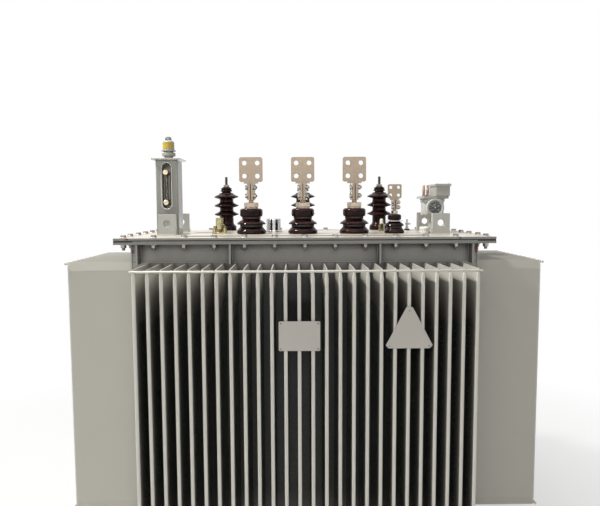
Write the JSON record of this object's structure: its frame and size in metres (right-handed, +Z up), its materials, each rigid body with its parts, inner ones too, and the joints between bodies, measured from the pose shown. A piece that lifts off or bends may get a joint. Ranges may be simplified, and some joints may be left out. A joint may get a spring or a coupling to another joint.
{
  "type": "power transformer",
  "caption": "Sealed oil-filled power transformer: finned tank on skids, bolted cover with porcelain bushings, oil gauge, protection relay and lifting lugs.",
  "frame": {"origin": "centre of the footprint on the floor under the skids", "axes": "+X to the right along the tank's length, -Y out of the low-voltage front, +Z up"},
  "size_m": [1.7886, 1.0366, 1.596],
  "materials": {
    "tank_paint": "semi-gloss warm light grey enamel",
    "plate_paint": "semi-gloss warm light grey enamel, bare",
    "gasket_rubber": "matt black rubber",
    "porcelain": "glossy dark red-brown glaze",
    "tinned_palm": "dull plated",
    "brass": "turned",
    "sight_glass": "clear tube",
    "valve_paint": "semi-gloss grey",
    "pale_plastic": "pale moulded plastic",
    "relay_paint": "satin grey",
    "dial_case": "moulded grey case",
    "gland_brass": "dull copper coloured",
    "yellow_zinc": "yellow passivated zinc",
    "bright_metal": "polished"
  },
  "bodies": {
    "root": {"tank_floor": "tank_paint", "front_wall": "tank_paint", "rear_wall": "tank_paint", "left_wall": "tank_paint", "right_wall": "tank_paint", "front_fins": "tank_paint", "rear_fins": "tank_paint", "left_fins": "tank_paint", "right_fins": "tank_paint", "front_tie_rods": "tank_paint", "rear_tie_rods": "tank_paint", "left_tie_rods": "tank_paint", "right_tie_rods": "tank_paint", "tank_rim": "tank_paint", "rim_gussets": "tank_paint", "tank_cover": "tank_paint", "bushing_plate": "tank_paint", "lifting_lugs": "tank_paint", "gauge_column": "tank_paint", "gauge_top_plate": "tank_paint", "left_skid": "tank_paint", "right_skid": "tank_paint", "rating_plate": "plate_paint", "warning_plate": "plate_paint", "cover_gasket": "gasket_rubber", "lv_bushing_a": "porcelain", "lv_bushing_b": "porcelain", "lv_bushing_c": "porcelain", "neutral_bushing": "porcelain", "hv_bushing_a": "porcelain", "hv_bushing_b": "porcelain", "hv_bushing_c": "porcelain", "lv_terminal_a": "tinned_palm", "lv_terminal_b": "tinned_palm", "lv_terminal_c": "tinned_palm", "neutral_terminal": "tinned_palm", "lv_studs": "brass", "hv_studs": "brass", "gauge_screws": "brass", "gauge_glass": "sight_glass", "relief_valve": "valve_paint", "relay_body": "pale_plastic", "plug_cap": "pale_plastic", "relay_head": "relay_paint", "relay_terminal_box": "relay_paint", "relay_dial": "dial_case", "relay_glands": "gland_brass", "thermometer_pocket": "yellow_zinc", "filler_valve": "yellow_zinc", "tap_changer": "bright_metal", "bleed_valve": "bright_metal"}
  },
  "joints": []
}
